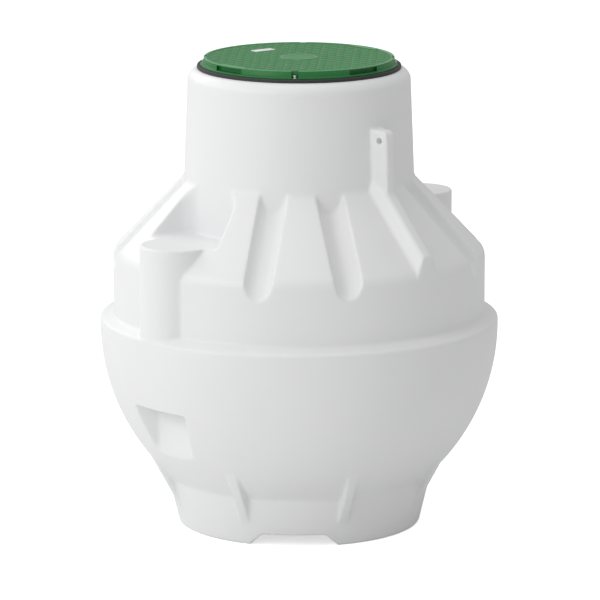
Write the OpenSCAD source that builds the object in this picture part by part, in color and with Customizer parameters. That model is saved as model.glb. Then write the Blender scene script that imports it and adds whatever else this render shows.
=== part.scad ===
// Underground storage tank: one hollow plastic moulding with a foot, a bowl, a fluted shoulder and
// a neck, closed by a screwed cover on a seal. Z is up, the ground plane is z = 0 and the axis of
// the tank is the Z axis. Angles are counted from the front (-Y) towards +X.

/* [Foot] */
// How much narrower the foot is on the ground than where it meets the bowl
foot_draft = 58; // [20:1:120]
// Height of the foot ring
foot_h = 240; // [160:1:320]
// Height of the sling channel under the foot
channel_h = 57; // [30:1:90]
// Width of the channel at its flat top
channel_w = 300; // [160:1:420]
// Sideways run of each channel flank
channel_flank = 56; // [20:1:90]
// Radius on the upper corners of the channel
channel_edge = 24; // [8:1:40]
// Number of gussets between the foot and the bowl
gusset_n = 8; // [4:1:12]
// Thickness of a gusset
gusset_t = 50; // [24:1:80]
// Distance below the top of the foot at which a gusset leaves it
gusset_drop = 136; // [100:1:180]
// Height that a gusset climbs
gusset_h = 282; // [200:1:340]

/* [Bowl] */
// Outer radius of the rim, the widest place
rim_r = 953; // [860:1:1050]
// Height of the bowl between foot and rim
bowl_h = 732; // [640:1:820]
// Radius of the arc that curves the bowl wall
bowl_arc = 993; // [900:1:1100]
// Angle of the arc before the wall runs straight
bowl_angle = 41.5; // [36:0.5:46]
// Height of the upright face of the rim
rim_h = 30; // [16:1:60]
// Radius on the upper edge of the rim
rim_edge = 10; // [4:1:14]
// Rise of the sloping ledge above the rim
ledge_rise = 28; // [16:1:50]
// Distance of the flat roof of the side pocket below the rim
pocket_drop = 309; // [270:1:370]
// Width of the pocket at its back wall
pocket_w = 244; // [160:1:300]
// Depth of the pocket, from the rim to its back wall
pocket_depth = 167; // [120:1:185]
// Flare of each side wall of the pocket in degrees
pocket_flare = 29; // [10:1:40]

/* [Shoulder] */
// Distance of the upright band inside the rim
ledge_w = 64; // [40:1:110]
// Height of the band up to the sharp corner
band_h = 293; // [220:1:340]
// Height of the cone from that corner to the neck
cone_h = 358; // [280:1:400]
// Radius on the corner of band and cone
corner_arc = 84; // [40:1:110]
// Radius in the corner of cone and neck
neck_fillet = 48; // [10:1:60]
// Radius of the round floor of a flute
flute_r = 67; // [50:1:80]
// Depth of a flute, square to the cone
flute_depth = 57; // [36:1:64]
// Angle between neighbouring flutes
flute_pitch = 27.5; // [25:0.5:29]

/* [Neck] */
// Radius of the neck where it meets the cone
neck_r = 549; // [500:1:600]
// How much narrower the neck is at its top
neck_draft = 19; // [4:1:40]
// Height of the neck wall up to the rounded top edge
neck_h = 474; // [380:1:600]
// Radius on the top edge of the neck
neck_edge = 43; // [20:1:44]
// Angle by which that edge turns in from the neck wall, and again from the top
neck_turn = 18; // [5:1:25]
// Width of the collar, from the neck wall to the manhole
collar_w = 130; // [120:1:200]

/* [Pipe bosses] */
// Angle of the outlet boss
boss_angle = -45; // [-60:1:-30]
// Radius of a boss
boss_r = 172; // [120:1:190]
// Distance of its outermost side inside the rim
boss_set = 3; // [2:1:30]
// Height of the outlet shelf above the ledge
outlet_h = 415; // [350:1:450]
// Height of the inlet shelf above the ledge
inlet_h = 485; // [420:1:520]
// Half angle of the recess behind a boss
recess_angle = 17.5; // [14:0.5:20]
// Radius in the upright corners of a recess
recess_fillet = 95; // [60:1:110]

/* [Lifting ribs] */
// Thickness of a rib where it meets the neck wall
rib_t = 80; // [60:1:100]
// Thickness of its upright limb at the outer face
rib_face = 54; // [40:1:70]
// Height of the upright limb above the neck wall
rib_out = 90; // [70:1:110]
// Length of the upright part on the neck
rib_h = 289; // [260:1:380]
// Radius on the outer edges of the upright limb
rib_edge = 10; // [4:1:14]
// Thickness of the limb on the cone where it meets the cone
rib_low_t = 124; // [100:2:150]
// Thickness of that limb at its outer face
rib_low_face = 56; // [44:2:70]
// Height of that limb above the cone
rib_low_out = 60; // [45:1:75]
// Radius on the outer edges of that limb
rib_low_edge = 18; // [8:1:20]
// Radius on the top corner of a rib
rib_top = 26; // [12:1:40]
// Diameter of the lifting eye
eye_d = 26; // [18:1:34]
// Distance of the eye below the top of the rib
eye_drop = 49; // [40:1:80]
// Distance of the eye from the neck wall
eye_out = 48; // [40:1:56]

/* [Cover] */
// Distance of the cover's side wall inside the edge of the seal
cover_set = 32; // [28:1:40]
// Height of the cover above its seal
cover_h = 36; // [30:1:44]
// Wall of the cover
cover_wall = 6; // [4:0.5:8]
// Width of the flange around the foot of the cover
flange_w = 17; // [12:1:20]
// Thickness of that flange
flange_t = 7; // [5:0.5:10]
// Height of the raised edge around the tread
edge_rise = 3; // [2:0.5:5]
// Width of the raised edge
edge_w = 14; // [8:1:20]
// Width of a grip pocket in the side of the cover
grip_w = 176; // [120:1:200]
// Height of a grip pocket
grip_h = 17; // [10:1:20]
// Depth of a grip pocket
grip_d = 24; // [14:1:30]
// Width of the plain pads above two of the grips, measured inwards from the edge
pad_w = 44; // [30:1:60]
// Height of a pad above the tread plate
pad_h = 2.2; // [1:0.1:2.6]
// Diameter of the medallion in the middle
medallion_d = 178; // [120:1:220]
// Height of the medallion above the tread plate
medallion_h = 2; // [1:0.5:3]
// Number of stiffening ribs under the cover
cover_ribs = 8; // [4:4:12]
// Height of those ribs
cover_rib_h = 14; // [8:1:18]

/* [Seal and screws] */
// Height of the seal between neck and cover
seal_h = 16; // [10:1:24]
// Distance of the seal's outer edge inside the neck wall
seal_set = 45; // [44:1:60]
// Width of the seal
seal_w = 61; // [50:1:75]
// Thread diameter of a cover screw
screw_d = 10; // [8:1:12]
// Length of the thread below the head
screw_l = 45; // [38:1:48]
// Distance of the screws inside the seal's outer edge
screw_set = 29; // [26:1:34]
// Diameter of the flange under a screw head
head_d = 20; // [16:1:24]
// Thickness of that flange
head_flange = 3; // [2:0.5:4]
// Diameter of the screw head
hex_d = 13; // [11:0.5:15]
// Height of the screw head above its flange
head_h = 12; // [8:1:16]
// Plastic left under a screw head
notch_floor = 3; // [2:0.5:5]
// Width of the notch around a screw
notch_w = 32; // [28:1:44]

/* [Walls] */
// Wall of the moulding
wall = 10; // [7:1:14]
// Plastic around and under a threaded insert
insert_wall = 7; // [5:1:8]
// Length of a threaded insert
insert_l = 30; // [20:1:36]
// Diameter of a threaded insert
insert_d = 18; // [16:1:22]
// Running clearance of a screw in the cover and seal
clear = 0.5; // [0.3:0.1:1.5]

/* [Hidden] */
$fn = 96;
eps = 0.01;
rim_z = foot_h + bowl_h;
ledge_z = rim_z + rim_h + ledge_rise;
corner_z = ledge_z + band_h;
neck_z = corner_z + cone_h;
edge_z = neck_z + neck_h;
top_z = edge_z + neck_edge;
seal_z = top_z + seal_h;
band_r = rim_r - ledge_w;
slope = atan2(cone_h, band_r - neck_r);
arc_end = [rim_r - bowl_arc * (1 - cos(bowl_angle)), rim_z - bowl_arc * sin(bowl_angle)];
crease_r = arc_end[0] - (arc_end[1] - foot_h) * tan(bowl_angle);
foot_r = crease_r - foot_draft;
gusset_z = foot_h - gusset_drop;
pocket_z = rim_z - pocket_drop;
outlet_z = ledge_z + outlet_h;
inlet_z = ledge_z + inlet_h;
pocket_r = rim_r - pocket_depth;
boss_at = rim_r - boss_set - boss_r;
neck_top_r = neck_r - neck_draft;
neck_taper = neck_draft / neck_h;
edge_arc = neck_edge / (cos(neck_turn) - sin(neck_turn));
rib_z = neck_z + rib_h;
rib_wall_r = neck_r - rib_h * neck_taper;
manhole_r = neck_top_r - collar_w;
seal_r = neck_top_r - seal_set;
seal_in = seal_r - seal_w;
cover_r = seal_r - cover_set;
screw_at = seal_r - screw_set;
inlet_angle = boss_angle + 180;
rib_angles = [boss_angle + 90, boss_angle - 90];
flute_angles = [for (s = [-1, 1], k = [-1.5, -0.5, 0.5, 1.5])
    if (k != 0) boss_angle + s * 90 + (k < 0 ? k - 0.5 : k + 0.5) * flute_pitch];

// Points of an arc about c, from angle a to angle b
function arc(c, r, a, b, n = 8) = [for (i = [0:n]) let (t = a + (b - a) * i / n) c + r * [cos(t), sin(t)]];

// Points of a corner at p between its neighbours a and b, rounded with radius r
function corner(a, p, b, r, n = 6) = let (
        u = (a - p) / norm(a - p),
        v = (b - p) / norm(b - p),
        h = acos(u * v) / 2,
        c = p + (u + v) / norm(u + v) * r / sin(h),
        s = p + u * r / tan(h) - c,
        e = p + v * r / tan(h) - c,
        a0 = atan2(s[1], s[0]),
        d = atan2(e[1], e[0]) - a0,
        sweep = d > 180 ? d - 360 : d < -180 ? d + 360 : d)
    arc(c, r, a0, a0 + sweep, n);

// Half outline of the whole tank, from the axis on the ground to the axis at the top
profile = concat(
    [[0, 0], [foot_r, 0], [crease_r, foot_h]],
    [for (p = arc([rim_r - bowl_arc, rim_z], bowl_arc, -bowl_angle, 0, 10)) p],
    corner([rim_r, rim_z], [rim_r, rim_z + rim_h], [band_r, ledge_z], rim_edge, 4),
    [[band_r, ledge_z]],
    corner([band_r, ledge_z], [band_r, corner_z], [neck_r, neck_z], corner_arc, 7),
    corner([band_r, corner_z], [neck_r, neck_z], [neck_top_r, edge_z], neck_fillet, 6),
    arc([neck_top_r - edge_arc * cos(neck_turn), edge_z - edge_arc * sin(neck_turn)], edge_arc,
        neck_turn, 90 - neck_turn, 6),
    [[0, top_z]]);

// Half outline, moved inwards by the inset
module outline(inset) {
    if (inset == 0) polygon(profile);
    else intersection() {
        offset(delta = -inset) {
            polygon(profile);
            mirror([1, 0]) polygon(profile);
        }
        translate([0, -1]) square([rim_r + 1, top_z + 2]);
    }
}

// Turns a feature from the front to its own angle
module at(angle) rotate([0, 0, angle]) children();

// Round cutter of one flute, running down the cone
module flute(inset) {
    // The axis lies above the cone, so that the floor is flute_depth deep
    rise = flute_r - flute_depth;
    start = 3 * flute_r;
    translate([0, -neck_r, neck_z]) rotate([90 + slope, 0, 0]) translate([0, rise, -start])
        cylinder(r = flute_r + inset, h = band_r - neck_r + cone_h + 2 * start);
}

// Wedge cut into the shoulder above a shelf, its corners at the neck rounded
module recess(shelf_z, inset) {
    run = 1.2 * rim_r;
    apex = inset / sin(recess_angle);
    // The rounding ends a little inside the neck
    start = neck_r - 3;
    lean = recess_angle - asin(recess_fillet / (start + recess_fillet));
    far = (run + apex) * [tan(recess_angle), 0] - [0, run];
    side = arc((start + recess_fillet) * [sin(lean), -cos(lean)], recess_fillet + inset,
        recess_angle, 90 + lean, 6);
    translate([0, 0, shelf_z - inset]) linear_extrude(top_z - shelf_z + inset)
        polygon(concat([far], side, [for (i = [len(side) - 1:-1:0]) [-side[i][0], side[i][1]]],
            [[-far[0], far[1]]]));
}

// Pocket in the side of the bowl, open where its back wall meets the curve
module pocket(inset) {
    grow = inset / cos(pocket_flare);
    depth = pocket_depth + 4 * wall;
    back = pocket_w / 2 + grow - inset * tan(pocket_flare);
    translate([0, 0, arc_end[1] - 4 * wall]) linear_extrude(pocket_z - arc_end[1] + 4 * wall + inset)
        polygon([[-back, inset - pocket_r], [back, inset - pocket_r],
            [back + (depth + inset) * tan(pocket_flare), -pocket_r - depth],
            [-back - (depth + inset) * tan(pocket_flare), -pocket_r - depth]]);
}

// Round boss that stands on the ledge and carries the shelf
module boss(shelf_z, inset) {
    translate([0, -boss_at, rim_z]) cylinder(r = boss_r - inset, h = shelf_z - inset - rim_z);
}

// Cross-section of a limb of a rib: sideways and outwards from the wall, closed inside the wall
function limb_section(t, face, height, edge, inset) = let (
        draft = (t - face) / 2 / height,
        side = inset * sqrt(1 + draft * draft),
        out = height - inset,
        base = 0.4 * rib_out - inset,
        f = face / 2 + draft * inset - side,
        b = f + draft * (out + base),
        right = corner([b, -base], [f, out], [-f, out], max(edge - inset, 1), 4))
    concat([[b, -base]], right, [for (i = [len(right) - 1:-1:0]) [-right[i][0], right[i][1]]], [[-b, -base]]);

// Point of a section that stands square to the cone, u down the cone from the foot of the neck
function on_cone(p, u) = [p[0], -neck_r - u * cos(slope) - p[1] * sin(slope),
    neck_z - u * sin(slope) + p[1] * cos(slope)];

// Solid between two sections of the same number of points
module between(first, last) {
    n = len(first);
    polyhedron(concat(first, last), concat([[for (i = [0:n - 1]) i]],
        [for (i = [0:n - 1]) [i, n + i, n + (i + 1) % n, (i + 1) % n]],
        [[for (i = [n - 1:-1:0]) n + i]]), convexity = 4);
}

// Lifting rib: an upright limb down the neck that ends in a wider and lower one down the cone
module rib(inset) {
    high = limb_section(rib_t, rib_face, rib_out, rib_edge, inset);
    low = limb_section(rib_low_t, rib_low_face, rib_low_out, rib_low_edge, inset);
    lean = atan2(neck_r - neck_top_r, neck_h);
    reach = 1 / cos(lean) / (cos(slope) - sin(slope) * neck_taper);
    top = rib_z - inset;
    intersection() {
        union() {
            between([for (p = high) [p[0], -neck_top_r - (edge_z - top) * neck_taper - p[1] / cos(lean), top]],
                [for (p = high) on_cone([p[0], 0], p[1] * reach)]);
            between([for (p = low) on_cone(p, -1.2 * rib_out)],
                [for (p = low) on_cone(p, (band_r - neck_r) / cos(slope) + rib_out)]);
        }
        cylinder(r = band_r - inset, h = top_z);
        rib_side(inset);
    }
}

// Side view of a rib, wide enough for all of it but its rounded top corner
module rib_side(inset) {
    face = rib_wall_r + rib_out - inset;
    top = rib_z - inset;
    step = rib_h / 2;
    rotate([90, 0, -90]) linear_extrude(3 * rib_t, center = true)
        polygon(concat([[0, ledge_z], [2 * rim_r, ledge_z], [2 * rim_r, rib_z - step],
                [face + step * neck_taper, rib_z - step]],
            corner([face + step * neck_taper, rib_z - step], [face, top], [0, top], max(rib_top - inset, 1)),
            [[0, top]]));
}

// Body of revolution without any feature
module revolved(inset) {
    rotate_extrude() outline(inset);
}

// The neck carried on down to the shelves
module core(inset) {
    low = outlet_z - 6 * wall;
    translate([0, 0, low])
        cylinder(r1 = neck_r + (neck_z - low) * neck_taper - inset, r2 = neck_r - inset, h = neck_z - low);
}

// Sling channel across the underside, from front to back
module channel(inset) {
    w = channel_w / 2 + inset;
    rise = channel_h + inset;
    run = channel_flank * (rise + 1 + inset) / channel_h;
    side = corner([w + run, -1 - inset], [w, rise], [0, rise], channel_edge + inset);
    rotate([90, 0, 0]) linear_extrude(3 * foot_r, center = true)
        polygon(concat([[w + run, -1 - inset]], side,
            [for (i = [len(side) - 1:-1:0]) [-side[i][0], side[i][1]]], [[-w - run, -1 - inset]]));
}

// Slab between two heights
module slab(z0, z1) translate([-2 * rim_r, -2 * rim_r, z0]) cube([4 * rim_r, 4 * rim_r, z1 - z0]);

// Lower part of the moulding; an inset gives the hollow inside it
module lower(inset) {
    difference() {
        revolved(inset);
        for (a = [boss_angle, inlet_angle]) at(a) pocket(inset);
        channel(inset);
    }
}

// Upper part of the moulding without bosses and ribs
module upper(inset) {
    difference() {
        revolved(inset);
        for (a = flute_angles) at(a) flute(inset);
        at(boss_angle) recess(outlet_z, inset);
        at(inlet_angle) recess(inlet_z, inset);
    }
    core(inset);
}

// Both pipe bosses
module bosses(inset) {
    at(boss_angle) boss(outlet_z, inset);
    at(inlet_angle) boss(inlet_z, inset);
}

// Hollow of the upper part
module upper_hollow() {
    upper(wall);
    bosses(wall);
    for (a = rib_angles) at(a) rib(wall);
}

// Foot ring with the flat bottom of the tank and the channel across it
module foot() color("whitesmoke") intersection() {
    difference() {
        lower(0);
        lower(wall);
    }
    slab(0, foot_h);
}

// Curved bowl with a pocket under each boss
module bowl() color("white") intersection() {
    difference() {
        lower(0);
        lower(wall);
    }
    slab(foot_h, rim_z);
}

// Radius of the bowl's outside at a height
function bowl_at(z) = z < arc_end[1] ? crease_r + (z - foot_h) * tan(bowl_angle)
    : rim_r - bowl_arc + sqrt(bowl_arc * bowl_arc - (rim_z - z) * (rim_z - z));

// Gussets that carry the bowl on the foot
module gussets() color("gainsboro") difference() {
    // A finer circle, because a gusset is thin where it lies along the bowl
    $fn = 192;
    low = foot_r + (crease_r - foot_r) * gusset_z / foot_h;
    high = gusset_z + gusset_h;
    for (k = [0:gusset_n - 1]) at((k + 0.5) * 360 / gusset_n)
        rotate([90, 0, -90]) linear_extrude(gusset_t, center = true)
            polygon([[low - foot_draft, gusset_z], [low, gusset_z], [bowl_at(high), high], [low - foot_draft, high]]);
    revolved(0);
}

// Rim with the sloping ledge that carries the bosses
module rim() color("whitesmoke") intersection() {
    difference() {
        union() {
            revolved(0);
            bosses(0);
        }
        revolved(wall);
        bosses(wall);
    }
    slab(rim_z, ledge_z);
}

// Band and cone with flutes and the recesses behind the bosses
module shoulder() color("white") intersection() {
    difference() {
        union() {
            upper(0);
            intersection() {
                bosses(0);
                revolved(0);
            }
        }
        upper_hollow();
    }
    slab(ledge_z, neck_z);
}

// Neck wall, opened where the hollow ribs join it
module neck() color("whitesmoke") difference() {
    intersection() {
        difference() {
            revolved(0);
            revolved(wall);
        }
        slab(neck_z, edge_z);
    }
    for (a = rib_angles) at(a) rib(wall);
}

// Wall of one boss outside the shoulder
module boss_wall(shelf_z) {
    intersection() {
        difference() {
            boss(shelf_z, 0);
            boss(shelf_z, wall);
            revolved(0);
        }
        slab(ledge_z, top_z);
    }
}

module outlet_boss() color("gainsboro") at(boss_angle) boss_wall(outlet_z);
module inlet_boss() color("gainsboro") at(inlet_angle) boss_wall(inlet_z);

// Cross bore of the lifting eye
module eye(r) translate([0, -rib_wall_r - eye_drop * neck_taper - eye_out, rib_z - eye_drop])
    rotate([0, 90, 0]) cylinder(r = r, h = 2 * rib_t, center = true);

// One hollow rib, with a tube of wall around its eye
module lifting_rib() difference() {
    rib(0);
    difference() {
        rib(wall);
        eye(eye_d / 2 + wall);
    }
    eye(eye_d / 2);
    revolved(0);
}

module lifting_rib_right() color("silver") at(rib_angles[0]) lifting_rib();
module lifting_rib_left() color("silver") at(rib_angles[1]) lifting_rib();

// Rounded top of the neck, with the manhole and a boss for each insert
module collar() color("white") difference() {
    union() {
        intersection() {
            difference() {
                revolved(0);
                revolved(wall);
            }
            slab(edge_z, top_z + 1);
        }
        for (k = [0:3]) at(90 * k) translate([0, -screw_at, top_z - insert_l - insert_wall])
            cylinder(d = insert_d + 2 * insert_wall, h = insert_l + insert_wall - eps);
    }
    translate([0, 0, edge_z]) cylinder(r = manhole_r, h = 2 * neck_edge);
    for (k = [0:3]) at(90 * k) translate([0, -screw_at, top_z - insert_l]) cylinder(d = insert_d, h = insert_l + 1);
}

// Threaded insert, its bore a close fit on the screw
module insert(k) color("goldenrod") at(90 * k) translate([0, -screw_at, top_z - insert_l]) difference() {
    cylinder(d = insert_d, h = insert_l);
    translate([0, 0, 2]) cylinder(d = screw_d + 2 * clear, h = insert_l);
}

module insert_front() insert(0);
module insert_right() insert(1);
module insert_back() insert(2);
module insert_left() insert(3);

// Flat ring between neck and cover
module seal() color("dimgray") translate([0, 0, top_z]) difference() {
    cylinder(r = seal_r, h = seal_h);
    translate([0, 0, -1]) cylinder(r = seal_in, h = seal_h + 2);
    for (k = [0:3]) at(90 * k) translate([0, -screw_at, -1]) cylinder(d = screw_d + 2 * clear, h = seal_h + 2);
}

// Block in the cover's edge, used for the notches and grips and for the walls around them
module edge_block(w, deep, z0, z1) translate([-w / 2, -cover_r - 2 * flange_w, z0])
    cube([w, 2 * flange_w + deep, z1 - z0]);

// Cover plate with skirt, flange, raised edge, medallion, notches, grips and ribs underneath
module cover() color("forestgreen") translate([0, 0, seal_z]) difference() {
    plate = cover_h - edge_rise;
    union() {
        rotate_extrude() polygon([[0, plate - cover_wall], [cover_r - cover_wall, plate - cover_wall],
            [cover_r - cover_wall, flange_t], [seal_in + 4, flange_t], [seal_in + 4, 0],
            [cover_r + flange_w, 0], [cover_r + flange_w, flange_t], [cover_r, flange_t + 3],
            [cover_r, cover_h - 2], [cover_r - 2, cover_h], [cover_r - edge_w, cover_h],
            [cover_r - edge_w - 2, plate], [medallion_d / 2, plate],
            [medallion_d / 2, plate + medallion_h], [0, plate + medallion_h]]);
        for (k = [0, 1]) at(180 * k - 45) intersection() {
            translate([-grip_w / 2, -cover_r, plate - 1]) cube([grip_w, pad_w, 1 + pad_h]);
            cylinder(r = cover_r - edge_w / 2, h = cover_h);
        }
        intersection() {
            union() {
                for (k = [0:3]) at(90 * k)
                    edge_block(notch_w + 2 * cover_wall, cover_r - screw_at + notch_w / 2 + cover_wall, 0, plate - 1);
                for (k = [0:3]) at(90 * k + 45)
                    edge_block(grip_w + 2 * cover_wall, grip_d + cover_wall, flange_t - 1, plate - 1);
                for (k = [0:cover_ribs / 2 - 1]) rotate(360 / cover_ribs * (k + 0.5))
                    translate([-cover_r, -cover_wall / 2, plate - cover_rib_h])
                        cube([2 * cover_r, cover_wall, cover_rib_h - 1]);
            }
            cylinder(r = cover_r - cover_wall / 2, h = cover_h);
        }
    }
    for (k = [0:3]) at(90 * k) {
        edge_block(notch_w, cover_r - screw_at + notch_w / 2, notch_floor, cover_h + 1);
        translate([0, -screw_at, -1]) cylinder(d = screw_d + 2 * clear, h = flange_t + 2);
    }
    for (k = [0:3]) at(90 * k + 45)
        edge_block(grip_w, grip_d, (flange_t + plate - grip_h) / 2 + 2, (flange_t + plate + grip_h) / 2 + 2);
}

// Cover screw with a flanged six-sided head that stands on the floor of its notch
module screw(k) color("silver") at(90 * k) translate([0, -screw_at, seal_z + notch_floor]) {
    translate([0, 0, -screw_l]) cylinder(d = screw_d, h = screw_l + eps);
    cylinder(d1 = head_d, d2 = head_d - 2, h = head_flange);
    cylinder(d = hex_d, h = head_flange + head_h, $fn = 6);
}

module screw_front() screw(0);
module screw_right() screw(1);
module screw_back() screw(2);
module screw_left() screw(3);

foot();
bowl();
gussets();
rim();
shoulder();
neck();
collar();
outlet_boss();
inlet_boss();
lifting_rib_right();
lifting_rib_left();
insert_front();
insert_right();
insert_back();
insert_left();
seal();
cover();
screw_front();
screw_right();
screw_back();
screw_left();
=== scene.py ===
"""Looks of an underground storage tank: a white moulded shell, a green screwed cover and its seal.

Everything is in metres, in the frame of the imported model: Z is up, the ground is z = 0 and the
axis of the tank is the Z axis. Angles are counted from the front (-Y) towards +X, in degrees.
"""

import logging
import math
from dataclasses import dataclass
from enum import Enum
from typing import Any, Iterable, Sequence

import bmesh
import bpy
from mathutils import Matrix, Vector


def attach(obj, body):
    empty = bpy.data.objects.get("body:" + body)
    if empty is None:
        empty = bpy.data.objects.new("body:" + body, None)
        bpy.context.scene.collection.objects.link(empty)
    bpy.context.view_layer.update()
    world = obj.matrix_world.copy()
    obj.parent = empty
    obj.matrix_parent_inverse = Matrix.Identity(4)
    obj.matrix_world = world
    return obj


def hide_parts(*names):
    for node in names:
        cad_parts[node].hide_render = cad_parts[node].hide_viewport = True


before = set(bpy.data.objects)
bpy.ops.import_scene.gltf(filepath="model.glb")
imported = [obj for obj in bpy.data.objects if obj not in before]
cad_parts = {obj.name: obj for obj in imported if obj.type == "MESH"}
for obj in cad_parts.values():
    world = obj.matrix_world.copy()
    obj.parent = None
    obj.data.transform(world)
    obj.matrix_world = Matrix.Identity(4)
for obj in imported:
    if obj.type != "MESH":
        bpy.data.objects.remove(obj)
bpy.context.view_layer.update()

LOG = logging.getLogger("tank")
Point = tuple[float, float]
Colour = tuple[float, float, float]
UP = Vector((0.0, 0.0, 1.0))
QUARTERS = (0.0, 90.0, 180.0, 270.0)
# Lays a side view, drawn as distance from the axis and height, out towards the front
SIDE_ON = Matrix(((0, 0, 1, 0), (-1, 0, 0, 0), (0, 1, 0, 0), (0, 0, 0, 1)))


class Body(Enum):
    """The two bodies of the model that pieces ride on."""

    TANK = "tank"
    COVER = "cover"


class Cut(Enum):
    """Ways to combine two solids."""

    JOIN = "UNION"
    TAKE_AWAY = "DIFFERENCE"
    KEEP_COMMON = "INTERSECT"


# ---------------------------------------------------------------- outlines and solids


def arc(centre: Point, radius: float, start: float, end: float, steps: int = 8) -> list[Point]:
    """Points of an arc.

    Args:
        centre: Middle of the arc.
        radius: Its radius in metres.
        start: First angle in degrees.
        end: Last angle in degrees.
        steps: Number of straight steps.

    Returns:
        steps + 1 points from start to end.
    """
    turns = [math.radians(start + (end - start) * i / steps) for i in range(steps + 1)]
    return [(centre[0] + radius * math.cos(t), centre[1] + radius * math.sin(t)) for t in turns]


def rounded(before: Point, at: Point, after: Point, radius: float, steps: int = 8) -> list[Point]:
    """Points of a rounded corner.

    Args:
        before: A point on the line that reaches the corner.
        at: The corner itself.
        after: A point on the line that leaves the corner.
        radius: Radius of the rounding in metres.
        steps: Number of straight steps.

    Returns:
        The points of the arc that touches both lines.
    """
    corner = Vector(at)
    back, ahead = (Vector(before) - corner).normalized(), (Vector(after) - corner).normalized()
    half = back.angle(ahead) / 2
    centre = corner + (back + ahead).normalized() * radius / math.sin(half)
    reach = radius / math.tan(half)
    first, last = corner + back * reach - centre, corner + ahead * reach - centre
    start, end = (math.degrees(math.atan2(p.y, p.x)) for p in (first, last))
    sweep = (end - start + 180) % 360 - 180
    return arc(tuple(centre), radius, start, start + sweep, steps)


def turned(angle: float) -> Matrix:
    """The turn that brings a feature from the front to its own angle."""
    return Matrix.Rotation(math.radians(angle), 4, "Z")


def tidy(shape: bmesh.types.BMesh) -> bmesh.types.BMesh:
    """Closes the seams and poles of a shape and points its faces outwards."""
    bmesh.ops.remove_doubles(shape, verts=shape.verts, dist=1e-6)
    bmesh.ops.recalc_face_normals(shape, faces=shape.faces)
    return shape


def revolve(outline: Sequence[Point], steps: int, ring: bool = False) -> bmesh.types.BMesh:
    """Spins a half outline about the axis of the tank.

    Args:
        outline: Points as (radius, height).
        steps: Number of steps in the full turn.
        ring: Whether the outline closes on itself, as for a ring.

    Returns:
        The closed surface.
    """
    shape = bmesh.new()
    verts = [shape.verts.new((r, 0.0, z)) for r, z in outline]
    edges = [shape.edges.new(pair) for pair in zip(verts, verts[1:])]
    if ring:
        edges.append(shape.edges.new((verts[-1], verts[0])))
    bmesh.ops.spin(shape, geom=verts + edges, cent=(0, 0, 0), axis=UP, angle=math.tau, steps=steps,
                   use_merge=True, use_duplicate=False)
    return tidy(shape)


def prism(outline: Sequence[Point], depth: float, place: Matrix) -> bmesh.types.BMesh:
    """Pushes a flat outline out to a block.

    Args:
        outline: Points in the XY plane.
        depth: Length of the block along Z, half of it on each side.
        place: Where the block goes.

    Returns:
        The closed block.
    """
    shape = bmesh.new()
    face = shape.faces.new([shape.verts.new((x, y, -depth / 2)) for x, y in outline])
    pushed = bmesh.ops.extrude_face_region(shape, geom=[face])["geom"]
    far = [v for v in pushed if isinstance(v, bmesh.types.BMVert)]
    bmesh.ops.translate(shape, verts=far, vec=UP * depth)
    bmesh.ops.transform(shape, matrix=place, verts=shape.verts)
    return tidy(shape)


def drum(radius: float, depth: float, place: Matrix, top_radius: float | None = None,
         sides: int = 96) -> bmesh.types.BMesh:
    """A closed cylinder or cone.

    Args:
        radius: Radius of its lower end.
        depth: Its height.
        place: Where its lower end goes.
        top_radius: Radius of its upper end, the same when left out.
        sides: Number of side faces.

    Returns:
        The closed solid, standing on the XY plane before it is placed.
    """
    shape = bmesh.new()
    bmesh.ops.create_cone(shape, cap_ends=True, segments=sides, radius1=radius,
                          radius2=radius if top_radius is None else top_radius, depth=depth,
                          matrix=place @ Matrix.Translation(UP * depth / 2))
    return tidy(shape)


def swept(section: Sequence[Point], start: Matrix, end: Matrix) -> bmesh.types.BMesh:
    """Carries a flat section from one place to another.

    Args:
        section: Points in the XY plane.
        start: Where the section starts.
        end: Where it ends.

    Returns:
        The closed solid.
    """
    shape = bmesh.new()
    face = shape.faces.new([shape.verts.new((x, y, 0.0)) for x, y in section])
    bmesh.ops.transform(shape, matrix=start, verts=shape.verts)
    pushed = bmesh.ops.extrude_face_region(shape, geom=[face])["geom"]
    face = next(f for f in pushed if isinstance(f, bmesh.types.BMFace))
    bmesh.ops.transform(shape, matrix=end @ start.inverted(), verts=face.verts)
    return tidy(shape)


def box(size: Sequence[float], place: Matrix) -> bmesh.types.BMesh:
    """A block of a size, with its middle at a place."""
    shape = bmesh.new()
    bmesh.ops.create_cube(shape, size=1.0, matrix=place @ Matrix.Diagonal((*size, 1)))
    return shape


def chamfer(shape: bmesh.types.BMesh, edges: list[bmesh.types.BMEdge], width: float, steps: int) -> None:
    """Rounds some edges of a shape by a width, in a number of steps."""
    bmesh.ops.bevel(shape, geom=edges, affect="EDGES", offset=width, offset_type="OFFSET", segments=steps,
                    profile=0.5, material=-1)


def edges_above(shape: bmesh.types.BMesh, height: float) -> list[bmesh.types.BMEdge]:
    """The edges of a shape that lie above a height with both ends."""
    return [e for e in shape.edges if min(v.co.z for v in e.verts) > height]


def stand_in(shape: bmesh.types.BMesh, name: str) -> bpy.types.Object:
    """Turns a shape into an object of the scene and frees the shape.

    Args:
        shape: The finished shape.
        name: Name of the new object.

    Returns:
        The new object, at the origin.
    """
    mesh = bpy.data.meshes.new(name)
    shape.to_mesh(mesh)
    shape.free()
    made = bpy.data.objects.new(name, mesh)
    bpy.context.scene.collection.objects.link(made)
    return made


def taken(piece: bpy.types.Object) -> bmesh.types.BMesh:
    """Turns an object back into a shape and removes the object."""
    shape = bmesh.new()
    shape.from_mesh(piece.data)
    bpy.data.objects.remove(piece)
    return shape


def settle(piece: bpy.types.Object) -> None:
    """Applies every modifier of a piece to its mesh."""
    ready = piece.evaluated_get(bpy.context.evaluated_depsgraph_get())
    mesh = bpy.data.meshes.new_from_object(ready)
    old = piece.data
    piece.modifiers.clear()
    piece.data = mesh
    bpy.data.meshes.remove(old)


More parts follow.
